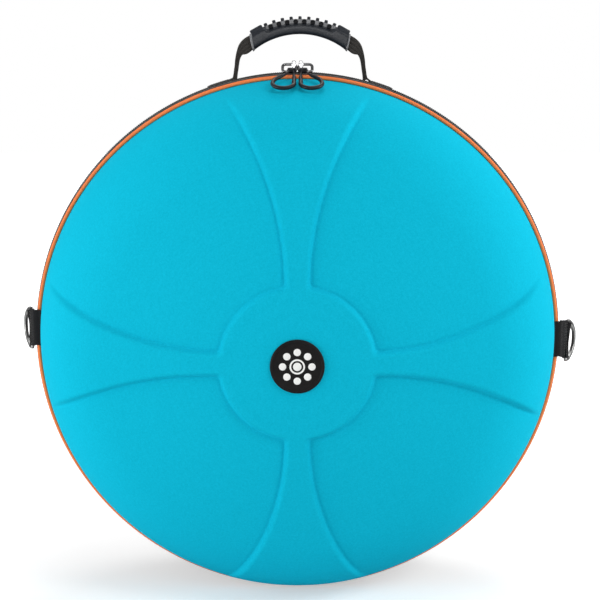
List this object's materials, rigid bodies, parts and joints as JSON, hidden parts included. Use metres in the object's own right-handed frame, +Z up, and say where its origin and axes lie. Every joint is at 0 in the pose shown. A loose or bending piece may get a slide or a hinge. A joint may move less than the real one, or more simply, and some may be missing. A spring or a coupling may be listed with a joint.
{
  "type": "handpan hard case",
  "caption": "Round zip-around hard case for a handpan, with a domed embossed front, padded inside, a carrying handle and strap rings.",
  "frame": {"origin": "on the flat that the case stands on, in the parting plane between its halves, straight below the centre of the round rim", "axes": "+Z up through the handle, the domed front half faces -Y, +X to the right seen from the front"},
  "size_m": [0.6446, 0.3075, 0.6653],
  "materials": {
    "front_cover": "matte",
    "rear_cover": "matte",
    "lining": "matte",
    "padding": "matte",
    "front_piping": "matte",
    "rear_piping": "matte",
    "zip_tape": "matte",
    "zip_coil": "satin",
    "webbing": "matte",
    "badge_rubber": "satin",
    "badge_print": "matte",
    "ring_metal": "satin",
    "grip_rubber": "satin",
    "slider_metal": "satin",
    "bail_chrome": "polished",
    "pull_rubber": "matte"
  },
  "bodies": {
    "base": {"rear_shell": "rear_cover", "rear_lining": "lining", "rear_rim_pad": "padding", "rear_crown_pad": "padding", "rear_piping": "rear_piping", "rear_zip_tape": "zip_tape", "rear_zip_coil": "zip_coil", "hinge_gusset": "zip_tape", "handle_anchor_left": "webbing", "handle_anchor_right": "webbing"},
    "lid": {"front_shell": "front_cover", "front_lining": "lining", "front_rim_pad": "padding", "front_crown_pad": "padding", "front_piping": "front_piping", "front_zip_tape": "zip_tape", "front_zip_coil": "zip_coil", "badge_base": "badge_rubber", "badge_emblem": "badge_print", "ring_tab_left": "webbing", "ring_tab_right": "webbing"},
    "strap_ring_left": {"d_ring_left": "ring_metal"},
    "strap_ring_right": {"d_ring_right": "ring_metal"},
    "handle": {"handle_grip": "grip_rubber", "handle_strap_left": "webbing", "handle_strap_right": "webbing"},
    "zip_left": {"slider_left": "slider_metal", "slider_bail_left": "bail_chrome"},
    "zip_right": {"slider_right": "slider_metal", "slider_bail_right": "bail_chrome"},
    "zip_ring_left": {"pull_ring_left": "bail_chrome"},
    "zip_ring_right": {"pull_ring_right": "bail_chrome"},
    "zip_pull_left": {"pull_loop_left": "pull_rubber"},
    "zip_pull_right": {"pull_loop_right": "pull_rubber"}
  },
  "joints": [
    {"name": "lid_hinge", "type": "hinge", "parent": "base", "child": "lid", "pos_m": [0, 0, 0.0008], "axis": [1, 0, 0], "range_deg": [0, 165]},
    {"name": "handle_swing", "type": "hinge", "parent": "base", "child": "handle", "pos_m": [0.0035, 0.035, 0.6078], "axis": [1, 0, 0], "range_deg": [-75, 50]},
    {"name": "ring_left_swing", "type": "hinge", "parent": "lid", "child": "strap_ring_left", "pos_m": [-0.3075, -0.003, 0.3048], "axis": [0, 0, 1], "range_deg": [-30, 100]},
    {"name": "ring_right_swing", "type": "hinge", "parent": "lid", "child": "strap_ring_right", "pos_m": [0.3115, -0.003, 0.2898], "axis": [0, 0, -1], "range_deg": [-30, 100]},
    {"name": "slider_left_run", "type": "hinge", "parent": "base", "child": "zip_left", "pos_m": [0, 0, 0.2998], "axis": [0, -1, 0], "range_deg": [0, 74]},
    {"name": "slider_right_run", "type": "hinge", "parent": "base", "child": "zip_right", "pos_m": [0, 0, 0.2998], "axis": [0, 1, 0], "range_deg": [0, 74]},
    {"name": "ring_left_lift", "type": "hinge", "parent": "zip_left", "child": "zip_ring_left", "pos_m": [-0.0091, 0, 0.6107], "axis": [-1, 0, 0], "range_deg": [0, 80]},
    {"name": "ring_right_lift", "type": "hinge", "parent": "zip_right", "child": "zip_ring_right", "pos_m": [0.0091, 0, 0.6107], "axis": [-1, 0, 0], "range_deg": [0, 80]},
    {"name": "pull_left_lift", "type": "hinge", "parent": "zip_ring_left", "child": "zip_pull_left", "pos_m": [-0.0068, -0.0095, 0.6037], "axis": [-1, 0, 0], "range_deg": [0, 100]},
    {"name": "pull_right_lift", "type": "hinge", "parent": "zip_ring_right", "child": "zip_pull_right", "pos_m": [0.0068, -0.0095, 0.6037], "axis": [-1, 0, 0], "range_deg": [0, 100]}
  ]
}
